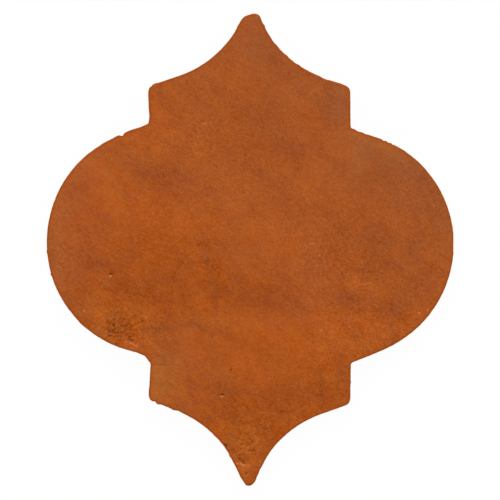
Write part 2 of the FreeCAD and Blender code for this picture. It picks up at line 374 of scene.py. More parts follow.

# %% [markdown]
# Next to the pits lie pale flecks: specks and fresh breaks of pale clay, and painted highlights on the lips
# and ridges that face the light. Pits and flecks sit mostly in three patches that tore under the rubbing board.
# They are listed in the same way. One function then adds up any list of marks at any points; each mark is a
# soft oval, which needs no edges of its own in the mesh.

# %% Flecks and torn patches
# pixels, turn in degrees clockwise, and a share of the full paleness or roughness
FLECKS = {
    # the lips under the two pinholes and the flecks in the torn patches are painted highlights, on sides that
    # face the light; the specks, flakes, scrape and hairlines are pale clay
    "left_lobe_lip": Mark(110.8, 275.9, 2.1, 0.9, -8, 0.95),
    "crown_lip": Mark(221.9, 396.0, 1.8, 1.0, 0, 0.9),
    "torn_high": Mark(116.5, 324.6, 0.9, 0.9, 0, 0.7),
    "torn_streak_lip": Mark(110.5, 317.6, 2.2, 0.9, 35, 0.55),
    "torn_left": Mark(113.3, 328.2, 1.3, 1.0, 0, 0.7),
    "torn_middle": Mark(116.8, 331.0, 1.1, 1.0, 0, 0.8),
    "torn_low": Mark(110.4, 334.6, 1.4, 1.0, 0, 0.65),
    "torn_ridge": Mark(133, 343.9, 4.6, 1.1, 20, 0.85),
    "torn_right": Mark(140.2, 331.8, 1.2, 1.0, 0, 0.7),
    "torn_thread": Mark(146, 317, 3.4, 0.9, 42, 0.5),
    "torn_top": Mark(131.5, 314.2, 1.0, 0.9, 0, 0.8),
    "tip_ridge": Mark(241.5, 463.7, 6.5, 1.5, 20, 0.9),
    "tip_high_streak": Mark(255, 435.8, 3.2, 0.9, 15, 0.6),
    "tip_low_streak": Mark(249, 452.6, 4.0, 0.9, 8, 0.55),
    "tip_spot": Mark(248.5, 446.5, 2.5, 1.4, 0, 0.5),
    "heart_speck": Mark(319.5, 255.5, 1.0, 1.0, 0, 1.0),
    "low_right_speck": Mark(321, 330, 1.1, 1.1, 0, 1.0),
    "right_flake": Mark(419, 313, 1.6, 1.0, 30, 0.9),
    "right_flake_small": Mark(427, 310, 1.2, 0.9, 30, 0.6),
    "right_lobe_scrape": Mark(367, 284, 5, 1.3, -15, 0.55),
    "left_end_hairline": Mark(59, 267, 6, 0.9, 35, 0.5),
    "left_rim_hairline": Mark(85, 312, 6, 0.9, 63, 0.5),
    "upper_left_hairline": Mark(203, 124, 6, 0.9, -5, 0.5),
    "heart_hairline": Mark(314, 244, 6, 0.9, -5, 0.5),
    "low_right_hairline": Mark(350, 326, 6, 0.9, -19, 0.45),
    "crown_hairline": Mark(295, 417, 6, 0.9, 21, 0.45),
}
TORN_PATCHES = {
    "left_lobe_foot": Mark(124, 329, 30, 19, 10, 1.0),
    "lower_tip": Mark(246, 449, 22, 20, 0, 0.8),
    "right_lobe_foot": Mark(378, 322, 46, 20, 12, 0.4),
}


def marks_at(points, marks):
    """The marks' strengths added up at flat points, each fading out from its middle."""
    total = np.zeros(len(points))
    for mark in marks.values():
        turn = math.radians(-mark.turn)
        along = np.array([math.cos(turn), math.sin(turn)])
        across = np.array([-along[1], along[0]])
        away = (points - at_pixel(mark.x, mark.y)) / PIXEL
        oval = (away @ along / mark.half_length) ** 2 + (away @ across / mark.half_width) ** 2
        total += mark.strength * np.exp(-oval)
    return total


print(len(FLECKS), "flecks,", len(TORN_PATCHES), "torn patches")

# %% [markdown]
# The face and the underside are flat sheets inside the last row at either end. A grid of squares would leave
# steps at the curved edge, so points are laid on an even three-way grid, each nudged a little. Subdividing
# all of it would take far too many triangles. So the torn patches get a finer grid, and the pits and flecks
# the finest.

# %% Points inside the face and the underside
PLAIN_SPACING = 1.05 * MM
TORN_SPACING = 0.5 * MM
PIT_SPACING = 0.28 * MM
BASE_SPACING = 3 * MM
NUDGE = 0.15
CLEAR_OF_RING = 0.6
PITTED_FROM = 0.08
TORN_FROM = 0.25
chance = np.random.default_rng(1207)


def depth_inside(points, ring):
    """How far points lie inside a ring, from its nearest point; below zero they are outside."""
    tree = kdtree.KDTree(len(ring))
    for number, (x, y) in enumerate(ring):
        tree.insert((x, y, 0), number)
    tree.balance()
    nearest = [tree.find((x, y, 0))[1] for x, y in points]
    return ((ring[nearest] - points) * outward(ring)[nearest]).sum(axis=1)


def three_way_grid(ring, spacing, wanted=None):
    """Points on an even three-way grid inside a ring, clear of its line, where they are wanted."""
    across = np.arange(ring[:, 0].min(), ring[:, 0].max(), spacing)
    up = np.arange(ring[:, 1].min(), ring[:, 1].max(), spacing * math.sqrt(3) / 2)
    x, y = np.meshgrid(across, up)
    x[1::2] += spacing / 2
    points = np.column_stack([x.ravel(), y.ravel()])
    points += chance.uniform(-NUDGE, NUDGE, points.shape) * spacing
    if wanted:
        points = points[wanted(points)]
    return points[depth_inside(points, ring) > CLEAR_OF_RING * spacing]


def pitted(points):
    return marks_at(points, PITS) + marks_at(points, FLECKS) > PITTED_FROM


def torn(points):
    return (marks_at(points, TORN_PATCHES) > TORN_FROM) & ~pitted(points)


def plain(points):
    return ~torn(points) & ~pitted(points)


face_ring = rows[-1][:, :2]
base_ring = rows[0][:, :2]
face_inner = np.vstack([
    three_way_grid(face_ring, PLAIN_SPACING, plain),
    three_way_grid(face_ring, TORN_SPACING, torn),
    three_way_grid(face_ring, PIT_SPACING, pitted),
])
base_inner = three_way_grid(base_ring, BASE_SPACING)
print(len(face_inner), "points inside the face,", len(base_inner), "inside the underside")

# %% [markdown]
# The points still have to be joined. Filling the ring first and cutting it up afterwards gives long slivers.
# Blender's own triangulation takes the ring as a border that it must keep, uses every point inside, and gives
# triangles as even as the points allow.

# %% Triangles of the face and the underside
INSIDE_ONLY = 1
MERGE_WITHIN = 0.0001 * MM


def triangles_inside(ring, inner):
    """Triangles over a ring and the points inside it, as numbers: ring points first, inner points after."""
    corners = [Vector(point) for point in np.vstack([ring, inner])]
    border = list(range(len(ring)))
    found = geometry.delaunay_2d_cdt(corners, [], [border], INSIDE_ONLY, MERGE_WITHIN)
    faces, origins = found[2], found[3]
    return [[origins[corner][0] for corner in face] for face in faces]


face_triangles = triangles_inside(face_ring, face_inner)
base_triangles = triangles_inside(base_ring, base_inner)
print(len(face_triangles), "triangles on the face,", len(base_triangles), "on the underside")

# %% [markdown]
# A fired slab is one closed body, so its mesh has no gaps. Three objects could be joined and their doubles
# merged, but that can close a nick by mistake. Here the rows, the face and the underside share one list of
# points, and the faces only name them by number. The underside's triangles are turned round, to face down.

# %% One closed mesh
ring_size = len(outline)
points = np.vstack([
    *rows,
    np.column_stack([face_inner, np.full(len(face_inner), THICKNESS)]),
    np.column_stack([base_inner, np.zeros(len(base_inner))]),
])
face_start = ring_size * len(rows)
base_start = face_start + len(face_inner)
top_row = ring_size * (len(rows) - 1)

faces = []
for row in range(len(rows) - 1):
    for place in range(ring_size):
        here = row * ring_size + place
        ahead = row * ring_size + (place + 1) % ring_size
        faces.append((here, ahead, ahead + ring_size, here + ring_size))
for corners in face_triangles:
    faces.append([top_row + c if c < ring_size else face_start + c - ring_size for c in corners])
for corners in base_triangles:
    faces.append([c if c < ring_size else base_start + c - ring_size for c in reversed(corners)])

slab = bpy.data.meshes.new("slab")
slab.from_pydata(points.tolist(), [], faces)
slab.shade_smooth()
print("slab of", len(points), "points and", len(faces), "faces")

# %% [markdown]
# The stain went on with a rag and dried in clouds: amber where it lay thin and warm, plum and umber where it
# soaked in. A noise could make clouds, but not in these places, and the sweep of amber across the middle is
# the first thing one sees. So each cloud is one more soft oval, and a long narrow one is a streak that the
# rag left.

# %% Warmth: amber, plum and umber
# pixels, turn in degrees clockwise, and strength: 1 is the full colour, below zero its opposite
WARMTH = {
    "amber_sweep_left": Mark(160, 213, 66, 20, 10, 0.9),
    "amber_sweep_end": Mark(225, 203, 24, 16, -10, 0.55),
    "amber_left_cheek": Mark(100, 178, 34, 18, 55, 0.55),
    "amber_upper_left_foot": Mark(170, 125, 40, 20, 25, 0.6),
    "amber_low_middle": Mark(255, 322, 45, 16, 15, 0.65),
    "amber_low_streak": Mark(285, 347, 30, 14, 30, 0.75),
    "amber_low_right": Mark(340, 325, 36, 18, 0, 1.0),
    "amber_low_far_right": Mark(380, 328, 22, 14, 10, 0.4),
    "amber_low_left": Mark(205, 342, 30, 18, 0, 0.3),
    "amber_heart": Mark(280, 248, 45, 18, 42, 0.55),
    "amber_right_inner": Mark(308, 185, 18, 20, 30, 0.5),
    "amber_right_dab": Mark(357, 285, 13, 8, 10, 0.6),
    "amber_torn_above": Mark(103, 305, 12, 11, 0, 0.55),
    "amber_lower_left_neck": Mark(157, 370, 10, 30, 0, 0.35),
    "amber_lower_tip": Mark(250, 464, 12, 9, 0, 0.6),
    "amber_right_rim": Mark(402, 149, 29, 11, 25, 0.7),
    "amber_low_heart": Mark(245, 356, 22, 33, 0, 0.65),
    "amber_sweep_low": Mark(140, 238, 45, 18, 0, 0.7),
    "amber_left_end_low": Mark(58, 272, 11, 18, 0, 0.5),
    "amber_upper_left_rim": Mark(147, 142, 31, 13, 0, 0.55),
    "amber_lower_right_foot": Mark(328, 344, 28, 11, 0, 0.7),
    "amber_lower_left_hollow": Mark(216, 431, 9, 10, 0, 1.3),
    "amber_torn_below": Mark(126, 345, 20, 6.5, 12, 1.05),
    "amber_lower_left_shoulder": Mark(153, 392, 11, 19, 0, 0.45),
    "plum_right_inner": Mark(365, 182, 31, 22, 0, -0.55),
    "plum_right_end": Mark(449, 221, 16, 45, 0, -0.5),
    "plum_right_cheek": Mark(422, 170, 50, 32, 42, -1.3),
    "plum_right_shoulder": Mark(338, 98, 18, 34, 0, -0.95),
    "plum_crown_right": Mark(300, 80, 40, 16, 35, -0.7),
    "plum_upper_tip": Mark(265, 52, 24, 24, 0, -0.8),
    "plum_upper_middle": Mark(270, 130, 38, 22, 5, -0.9),
    "plum_upper_heart": Mark(270, 180, 20, 18, 0, -0.4),
    "umber_upper_left": Mark(147, 172, 20, 13, 10, -0.9),
    "umber_upper_left_second": Mark(181, 183, 16, 11, 10, -0.6),
    "umber_right_middle": Mark(386, 250, 45, 24, 15, -0.85),
    "umber_right_low": Mark(400, 303, 20, 13, 0, -1.1),
    "umber_right_low_inner": Mark(350, 300, 18, 9, 0, -0.35),
    "umber_middle_low": Mark(275, 296, 40, 13, 8, -0.65),
    "umber_dab": Mark(209, 266, 17, 6, 68, -1.0),
    "umber_dab_low": Mark(215, 300, 9, 10, 0, -0.5),
    "umber_left_low": Mark(118, 283, 12, 24, 0, -0.65),
    "umber_left_inner": Mark(90, 262, 24, 14, 10, -0.55),
    "umber_left_edge": Mark(54, 237, 10, 12, 0, -0.35),
    "umber_left_rim": Mark(72, 303, 14, 15, 40, -0.4),
    "umber_inner_left": Mark(167, 282, 24, 18, 20, -0.45),
    "umber_torn_patch": Mark(113, 327, 8, 11, 0, -0.6),
    "umber_crown_left": Mark(200, 382, 18, 13, 0, -0.55),
    "umber_crown_pinhole": Mark(226, 393, 18, 14, 0, -0.65),
    "umber_crown_right": Mark(321, 387, 8, 15, 0, -0.25),
    "umber_crown_far_right": Mark(342, 388, 12, 24, 0, -0.45),
    "umber_crown_low": Mark(270, 408, 34, 20, 0, -0.4),
    "umber_lower_tip": Mark(243, 456, 10, 12, 0, -0.6),
    "amber_crown_middle": Mark(258, 400, 10, 9, 0, 0.85),
    "amber_crown_right_rim": Mark(280, 436, 9, 9, 0, 0.65),
    "amber_left_end": Mark(76, 218, 10, 9, 0, 0.65),
    "umber_sweep_gap": Mark(175, 210, 9, 9, 0, -0.6),
    "umber_left_low_rim": Mark(89, 302, 9, 9, 0, -0.8),
    "streak_heart": Mark(208, 268, 24, 3.6, 77, -0.9),
    "streak_heart_foot": Mark(217, 299, 12, 3, 120, -0.8),
    "streak_crown_right": Mark(320.5, 384, 20, 3, 85, -1.4),
    "streak_low_left": Mark(187, 326, 20, 2.8, 0, -1.1),
    "streak_low_right": Mark(356, 339, 7, 2.6, 75, -1.6),
    "streak_left_lobe": Mark(132, 237, 7, 2.6, 90, -1.1),
    "streak_left_foot": Mark(165, 359, 12, 2.8, 90, -1.1),
    "streak_torn_patch": Mark(112, 327, 14, 2.8, 105, -0.8),
    "streak_torn_tail": Mark(152, 329, 20, 2.8, -15, -0.7),
    "pale_streak_torn_patch": Mark(138, 327, 7, 2.6, -15, 1.0),
    "pale_streak_left_lobe": Mark(150, 210, 24, 2.8, 49, 0.7),
    "pale_streak_right_lobe": Mark(353, 284, 20, 2.8, 0, 0.8),
    "pale_streak_right_foot": Mark(414, 317, 12, 2.8, -30, 0.8),
    "pale_streak_tip": Mark(246, 464, 7, 2.6, -30, 1.3),
}
print(len(WARMTH), "clouds of warmth")

# %% [markdown]
# Salts came through the stain and left a dusty bloom, mostly in the upper half and at the left end. Where
# they didn't, the clay stays rust red. The two are one scale with opposite signs, so that they can't both
# show in one place.

# %% Bloom: dust and rust
BLOOM = {
    "dust_right_cheek": Mark(375, 146, 34, 16, 25, 0.75),
    "dust_right_lobe": Mark(410, 165, 40, 26, 40, 0.45),
    "dust_right_inner": Mark(357, 160, 13, 26, 10, 0.9),
    "dust_right_shoulder": Mark(342, 110, 14, 34, 0, 0.65),
    "dust_crown_right": Mark(300, 95, 34, 14, 0, 0.45),
    "dust_upper_tip": Mark(247, 52, 22, 30, 0, 0.35),
    "dust_upper_left": Mark(200, 122, 20, 16, 20, 0.3),
    "dust_left_end": Mark(58, 225, 20, 55, 3, 0.68),
    "dust_left_end_low": Mark(57, 276, 12, 24, 0, 0.55),
    "dust_left_cheek": Mark(88, 165, 24, 22, 40, 0.65),
    "dust_heart_streak": Mark(218, 192, 36, 16, 35, 0.5),
    "dust_crown_left": Mark(154, 380, 8, 18, 0, 0.85),
    "dust_crown_left_wide": Mark(170, 372, 20, 24, 0, 0.5),
    "dust_right_end": Mark(415, 210, 40, 28, 0, 0.4),
    "dust_right_dab": Mark(360, 286, 13, 9, 0, 0.4),
    "dust_middle_right": Mark(312, 270, 18, 44, -5, 0.4),
    "dust_lower_tip": Mark(246, 465, 8, 6, 0, 0.3),
    "dust_lower_left_shoulder": Mark(155, 399, 18, 21, 0, 0.6),
    "dust_right_rim": Mark(449, 246, 9, 45, 0, 0.5),
    "dust_heart_right": Mark(317, 177, 26, 39, 0, 0.4),
    "dust_upper_left_hollow": Mark(196, 56, 23, 45, 0, 0.4),
    "dust_tip_top": Mark(256, 22, 45, 45, 0, 0.45),
    "dust_upper_left_rim": Mark(153, 146, 45, 21, 0, 0.3),
    "dust_right_cheek_rim": Mark(397, 149, 11, 7, 20, 0.4),
    "rust_tip_right": Mark(274, 445, 45, 17, 0, -0.5),
    "rust_crown_left": Mark(201, 397, 13, 23, 0, -0.4),
    "rust_lower_right": Mark(344, 416, 45, 26, 0, -0.55),
    "rust_left_low": Mark(118, 290, 12, 20, 0, -0.4),
    "rust_left_wide": Mark(110, 275, 36, 26, 0, -0.45),
    "rust_left_rim": Mark(75, 300, 14, 16, 40, -0.4),
    "rust_dab": Mark(215, 275, 15, 18, 10, -0.8),
    "rust_heart_left": Mark(203, 241, 23, 16, 0, -0.35),
    "rust_dab_low": Mark(217, 300, 11, 10, 0, -0.5),
    "rust_torn_left": Mark(113, 326, 12, 11, 0, -0.35),
    "rust_torn_middle": Mark(134, 330, 16, 12, 0, -0.75),
    "rust_left_inner": Mark(165, 260, 40, 28, 15, -0.7),
    "rust_left_inner_low": Mark(160, 300, 36, 18, 0, -0.9),
    "rust_crown_low": Mark(265, 416, 46, 20, 0, -0.7),
    "rust_crown_pinhole": Mark(228, 406, 16, 20, 0, -0.45),
    "rust_crown_right": Mark(326, 395, 16, 18, 0, -0.35),
    "rust_crown_far_right": Mark(320, 370, 34, 24, 0, -0.5),
    "rust_lower_tip": Mark(241, 455, 8, 6, 0, -0.6),
    "rust_tip_end": Mark(248, 478, 8, 10, 0, -0.4),
    "rust_upper_middle": Mark(248, 130, 20, 18, 0, -0.35),
    "rust_upper_left": Mark(155, 172, 32, 22, 15, -0.3),
    "rust_right_middle": Mark(362, 262, 20, 14, 0, -0.4),
    "rust_right_low": Mark(395, 302, 32, 12, 0, -0.3),
    "rust_middle_low": Mark(258, 292, 34, 20, 10, -0.65),
    "rust_low_middle": Mark(255, 358, 50, 22, 0, -0.35),
    "rust_low_crown": Mark(260, 388, 44, 18, 0, -0.35),
}
print(len(BLOOM), "clouds of bloom")

# %% [markdown]
# Three weaker things differ from place to place: a dull olive film where dirt stayed, how rough the rubbing
# left the grain, and how patchily the stain dried. One strength for the whole face would be simpler, but it
# looks printed. Here too a few soft ovals are enough.

# %% Film, coarse grain and patchy stain
FILM = {
    "film_lower_left_neck": Mark(160, 381, 17, 20, 0, 0.7),
    "film_torn_patch": Mark(126, 322, 34, 16, 8, 0.3),
    "film_left_end": Mark(55, 232, 9, 52, 0, 0.2),
    "film_lower_tip": Mark(243, 445, 24, 24, 0, 0.3),
    "film_right_cheek": Mark(380, 148, 34, 24, 20, 0.25),
    "film_right_middle": Mark(366, 271, 14, 12, 0, 0.2),
    "bare_left_lobe": Mark(92, 215, 15, 50, 5, -0.2),
    "bare_upper_left": Mark(183, 186, 30, 18, 0, -0.2),
    "bare_low_middle": Mark(300, 304, 28, 20, 0, -0.2),
    "bare_crown_left": Mark(193, 375, 14, 30, 0, -0.22),
}
# where the rubbing left the grain rougher than usual, or smoother
COARSE = {
    "rough_upper_left": Mark(195, 140, 34, 24, 0, 0.42),
    "rough_left_inner": Mark(155, 222, 26, 40, 0, 0.17),
    "rough_heart_dab": Mark(210, 252, 16, 24, 0, 0.33),
    "rough_right_heart": Mark(335, 268, 52, 34, 15, 0.36),
    "rough_low_right": Mark(370, 340, 55, 30, -10, 0.5),
    "rough_crown_right": Mark(315, 385, 34, 26, 0, 0.21),
    "rough_crown_low": Mark(258, 432, 30, 26, 0, 0.4),
    "rough_left_end": Mark(62, 268, 20, 34, 0, 0.18),
    "rough_torn_patch": Mark(122, 330, 38, 24, 10, 0.45),
    "smooth_right_cheek": Mark(365, 165, 55, 24, 10, -0.39),
    "smooth_upper_tip": Mark(258, 62, 34, 40, 0, -0.23),
    "smooth_left_cheek": Mark(95, 182, 40, 34, 0, -0.3),
    "smooth_left_lobe": Mark(100, 240, 30, 24, 0, -0.17),
    "smooth_middle": Mark(248, 265, 22, 70, 0, -0.27),
    "smooth_low_left": Mark(205, 352, 40, 18, 0, -0.26),
}
# where the stain dried in stronger patches than usual, or more evenly
PATCHY = {
    "even_upper_tip": Mark(258, 62, 40, 45, 0, -0.4),
    "even_upper_middle": Mark(268, 125, 60, 30, 0, -0.3),
    "even_right_lobe": Mark(372, 208, 55, 50, 0, -0.45),
    "patchy_low_right": Mark(352, 350, 45, 50, 0, 0.5),
    "patchy_crown_left": Mark(190, 395, 40, 40, 0, 0.5),
    "patchy_lower_tip": Mark(235, 440, 30, 40, 0, 0.6),
    "patchy_torn_patch": Mark(112, 315, 35, 28, 0, 0.4),
}
print(len(FILM), "clouds of film,", len(COARSE), "of grain,", len(PATCHY), "of patchy stain")

# %% [markdown]
# The sums of all these marks are stored on the points of the mesh, as attributes that node trees can read by
# name. Working them out in shader nodes would take some hundreds of nodes. The clouds are read at places
# that wander a little, as a rag does, so that none of them looks like an oval.

# %% Paint the marks on the points
WANDER_SIZE = 12 * MM
WANDER = 2.5 * MM
RAG_SEED = 154
# where the tile lies in the endless noise
RAG_PLACE = 5.1
RAG_LAYERS = 3


def paint(mesh, name, values):
    """Store one number for each point of a mesh, for node trees to read by name."""
    layer = mesh.attributes.new(name, "FLOAT", "POINT")
    layer.data.foreach_set("value", values.astype(np.float32))


flat = points[:, :2]
# vector noise starts from the time of day unless it gets a seed
noise.seed_set(RAG_SEED)
rag_path = np.array([
    noise.turbulence_vector((x / WANDER_SIZE, y / WANDER_SIZE, RAG_PLACE), RAG_LAYERS, False)[:2]
    for x, y in flat])
wandering = flat + rag_path * WANDER
clouds = {"warmth": WARMTH, "bloom": BLOOM, "film": FILM, "coarse": COARSE, "patchy": PATCHY}
for name, marks in clouds.items():
    paint(slab, name, marks_at(wandering, marks))
upper_half = np.clip(points[:, 2] / THICKNESS * 2 - 1, 0, 1)
relief_marks = {"torn": TORN_PATCHES, "pit": PITS, "fleck": FLECKS}
for name, marks in relief_marks.items():
    paint(slab, name, marks_at(flat, marks) * upper_half)
print("painted", [*clouds, *relief_marks])

# %% [markdown]
# The round of the face edge gets a painted shade, and hands and other tiles wear the edge itself. Blender
# can find edges by the Geometry node's Pointiness, but only on one engine and at the mesh's own scale. The rows
# say it better: none on the face, full at the foot of its round, and fading again down the wall.

# %% Paint the rubbed and shaded edge
# how far down the wall the painted shade and the wear fade out
SHADE_AND_WEAR_RUN = 1.2 * MM
# share of the painted shade on the face's own edge row
FACE_BORDER = 0.08

arris = np.zeros(len(points))
for number, row in enumerate(rows):
    below = THICKNESS - row[:, 2]
    over_foot = np.clip(1 - below / face_round, 0, 1)
    under_foot = np.clip((below - face_round) / SHADE_AND_WEAR_RUN, 0, 1)
    arris[number * ring_size:(number + 1) * ring_size] = np.sqrt(1 - over_foot ** 2) * (1 - under_foot)
arris[top_row:top_row + ring_size] = FACE_BORDER
paint(slab, "arris", arris)
print(np.count_nonzero(arris), "points on the rubbed edge")

# %% [markdown]
# Now the finish. Materials are trees of nodes, and the tile, the floor and the light all need one. They could
# be wired by hand in the Shader Editor, but a script can be read and run again. Two helpers are enough: one
# turns a colour as the eye sees it into the linear light that shaders use, the other adds a node.

# %% Helpers for node trees
CLAY = "#a5521f"


def linear(hex_colour):
    """The linear colour that a shader takes, from an sRGB hex value."""
    shares = [int(hex_colour[start:start + 2], 16) / 255 for start in (1, 3, 5)]
    return np.array([s / 12.92 if s <= 0.04045 else ((s + 0.055) / 1.055) ** 2.4 for s in shares])


def node(tree, kind, links=None, **settings):
    """Add a node with its settings; links gives a socket a value, or a node or an output to read."""
    made = tree.nodes.new(kind)
    for name, value in settings.items():
        setattr(made, name, value)
    for socket, value in (links or {}).items():
        if isinstance(value, bpy.types.Node):
            value = next(output for output in value.outputs if output.enabled)
        if isinstance(value, bpy.types.NodeSocket):
            tree.links.new(value, made.inputs[socket])
        else:
            made.inputs[socket].default_value = value
    return made


print("plain clay in linear light", np.round(linear(CLAY), 3))

# %% [markdown]
# Terracotta is low-fired earthenware. This one was rubbed with a brown stain and a thin sealer, which gives
# the eye a deep red-brown that drifts between amber and plum, streaks a few millimetres long from the rubbing,
# a fine grit, and a dull satin that never glares. A photograph could be wrapped round it, but it would blur
# close up and stop at the edge. Noises of a real size in millimetres go on for ever.

# %% Stained and sealed terracotta: its patterns
# length and width of one patch in millimetres, turn in degrees, finer layers and their weight, and where the
# tile lies along the endless pattern, in metres
PATTERNS = {
    "mottle": (17, 11, -38, 3, 0.8, 29.5),
    "haze": (10, 7, 10, 3, 0.6, 36.3),
    "grime": (5, 4, 20, 2, 0.7, 2),
    "rub": (2.6, 1.5, -34, 1, 0.8, 3),
    "low_rub": (2.8, 1.5, -8, 1, 0.8, 4),
    # real grit is about 0.2 mm, too fine to show, so it is drawn as coarse as it needs
    "fine_grit": (0.75, 0.6, -30, 1, 0.8, 5),
    "crumple": (2.8, 1.5, 20, 2, 0.6, 6),
    "dark_grit": (1.5, 1.1, -30, 0, 0.5, 7),
    "light_grit": (1.3, 1.0, -30, 0, 0.5, 8),
    "sealer": (9, 7, 0, 3, 0.5, 9),
}

terracotta = bpy.data.materials.new("stained_sealed_terracotta")
terracotta.use_nodes = True
finish = terracotta.node_tree
finish.nodes.clear()
where = node(finish, "ShaderNodeTexCoord").outputs["Object"]
pattern = {}
for name, (length, width, turn, layers, weight, place) in PATTERNS.items():
    laid = node(finish, "ShaderNodeMapping", {
        "Vector": where,
        "Location": (place, 0, 0),
        "Rotation": (0, 0, math.radians(turn)),
        "Scale": (length * MM, width * MM, width * MM),
    }, vector_type="TEXTURE")
    pattern[name] = node(finish, "ShaderNodeTexNoise", {
        "Vector": laid, "Scale": 1, "Detail": layers, "Roughness": weight}, normalize=False)
painted = {name: node(finish, "ShaderNodeAttribute", attribute_name=name).outputs["Fac"]
           for name in (*clouds, *relief_marks, "arris")}
print(terracotta.name, "has", len(pattern), "patterns and", len(painted), "painted layers")

# %% [markdown]
# The rubbing left a grain: streaks that run down to the right, level ones near the lower tip, and grit between
# them. One stretched noise could do for all, but then the whole face would point one way. Two streak patterns
# trade places down the tile instead. The painted layers make the grain rougher or smoother, and crumple the
# torn patches.

# %% Grain from the rubbing
LEVEL_FROM = -40 * MM
LEVEL_TO = -100 * MM
STREAKS = 0.6
GRAIN = 1.17
GRAIN_SWING = 1.2
CRUMPLE = 2.2

axes = node(finish, "ShaderNodeSeparateXYZ", {0: where}).outputs
low_down = node(finish, "ShaderNodeMapRange", {
    "Value": axes["Y"], "From Min": LEVEL_FROM, "From Max": LEVEL_TO})
rubbed = node(finish, "ShaderNodeMix", {
    "Factor": low_down, "A": pattern["rub"], "B": pattern["low_rub"]})
streaky = node(finish, "ShaderNodeMath", {
    0: rubbed, 1: STREAKS, 2: pattern["fine_grit"]}, operation="MULTIPLY_ADD")
coarseness = node(finish, "ShaderNodeMath", {
    0: painted["coarse"], 1: GRAIN_SWING, 2: GRAIN}, operation="MULTIPLY_ADD")
crumpling = node(finish, "ShaderNodeMath", {
    0: painted["torn"], 1: CRUMPLE}, operation="MULTIPLY")
crumpled = node(finish, "ShaderNodeMath", {
    0: pattern["crumple"], 1: crumpling}, operation="MULTIPLY")
grain = node(finish, "ShaderNodeMath", {
    0: streaky, 1: coarseness, 2: crumpled}, operation="MULTIPLY_ADD")
print("grain swings by", GRAIN_SWING, "about", GRAIN)

# %% [markdown]
# Stain is thin colour over clay, so each colour here is a shift away from the plain clay, scaled by a cloud or
# a pattern. A chain of Mix nodes would only go one way, while a shift can also go below zero: less amber is
# plum, less dust is rust. Haze frays the bloom, grime frays the film, and mottle gathers where the stain dried
# patchily.

# %% Colours of the stain
AMBER = "#ae551c"
DUST = "#a65728"
OLIVE = "#a2591d"
TAN = "#ad571f"
LIGHT_GRAIN = "#ae5b29"
HAZE_IN_BLOOM = 0.45
GRIME_IN_FILM = 0.15

dusty = node(finish, "ShaderNodeMath", {
    0: pattern["haze"], 1: HAZE_IN_BLOOM, 2: painted["bloom"]}, operation="MULTIPLY_ADD")
filmy = node(finish, "ShaderNodeMath", {
    0: pattern["grime"], 1: GRIME_IN_FILM, 2: painted["film"]}, operation="MULTIPLY_ADD")
mottled = node(finish, "ShaderNodeMath", {
    0: pattern["mottle"], 1: painted["patchy"], 2: pattern["mottle"]}, operation="MULTIPLY_ADD")
stains = ((AMBER, painted["warmth"]), (DUST, dusty), (OLIVE, filmy), (TAN, mottled), (LIGHT_GRAIN, grain))
colour = tuple(linear(CLAY))
for stain, amount in stains:
    shift = tuple(linear(stain) - linear(CLAY))
    colour = node(finish, "ShaderNodeVectorMath", {
        0: amount, 1: shift, 2: colour}, operation="MULTIPLY_ADD")
print(len(stains), "stains over the clay")

# %% [markdown]
# Some things do cover the stain, so they are mixed over it, one after the other: painted shade just inside the
# edge, the edge itself worn pale here and there, pale specks of grit and fresh breaks with painted highlights
# on the lips of pits and in the torn patches, and dirt with painted shade in the pits.
# Each starts to show at one value and is full at another, which keeps its border crisp.

# %% Edge, flecks and pits
# painted shade along the round of the face edge and the top of the wall
EDGE_PAINTED_SHADE = "#9b4500"
WORN_EDGE = "#bc6824"
# pale grit and breaks, and painted highlights on lips and ridges
PALE_BREAK_AND_HIGHLIGHT = "#c98052"
# dark grit, and the pits darkened with dirt and painted shade
DIRT_AND_PIT_SHADE = "#602900"
WEAR_SWING = 0.9
MARK_OVER_GRIT = 1.6

wearing = node(finish, "ShaderNodeMath", {
    0: pattern["haze"], 1: WEAR_SWING, 2: 1}, operation="MULTIPLY_ADD")
worn = node(finish, "ShaderNodeMath", {
    0: painted["arris"], 1: wearing}, operation="MULTIPLY")
pale = node(finish, "ShaderNodeMath", {
    0: painted["fleck"], 1: MARK_OVER_GRIT, 2: pattern["light_grit"]}, operation="MULTIPLY_ADD")
dirt_and_shade = node(finish, "ShaderNodeMath", {
    0: painted["pit"], 1: MARK_OVER_GRIT, 2: pattern["dark_grit"]}, operation="MULTIPLY_ADD")
# colour, where it lies, the values at which it starts and is full, and how much of it covers the stain
covers = (
    (EDGE_PAINTED_SHADE, painted["arris"], 0, 0.25, 1),
    (WORN_EDGE, worn, 0.45, 1, 1),
    (PALE_BREAK_AND_HIGHLIGHT, pale, 0.52, 1.1, 0.7),
    (DIRT_AND_PIT_SHADE, dirt_and_shade, 0.5, 1.3, 0.8),
)
for cover, amount, starts, full, most in covers:
    share = node(finish, "ShaderNodeMapRange", {
        "Value": amount, "From Min": starts, "From Max": full, "To Max": most})
    colour = node(finish, "ShaderNodeMix", {
        "Factor": share, "A": colour, "B": (*linear(cover), 1)}, data_type="RGBA")
print(len(covers), "covers over the stain")

# %% [markdown]
# The underside never saw the stain, so raw clay takes over just above the floor. Then everything meets in one
# Principled BSDF. Fired clay has an IOR of about 1.5 and no metal. Its roughness follows the sealer, and the
# specular level is low, because the rubbed face hardly mirrors. The grain also lifts the surface a hair's
# breadth by bump: real relief that fine would take millions of triangles.

# %% Underside and surface
RAW_CLAY = "#b5673c"
STAIN_FADES = 0.3 * MM
STAIN_STARTS = 1.5 * MM
GRAIN_HEIGHT = 0.02 * MM
DULL = 0.58
DULL_SWING = 0.12

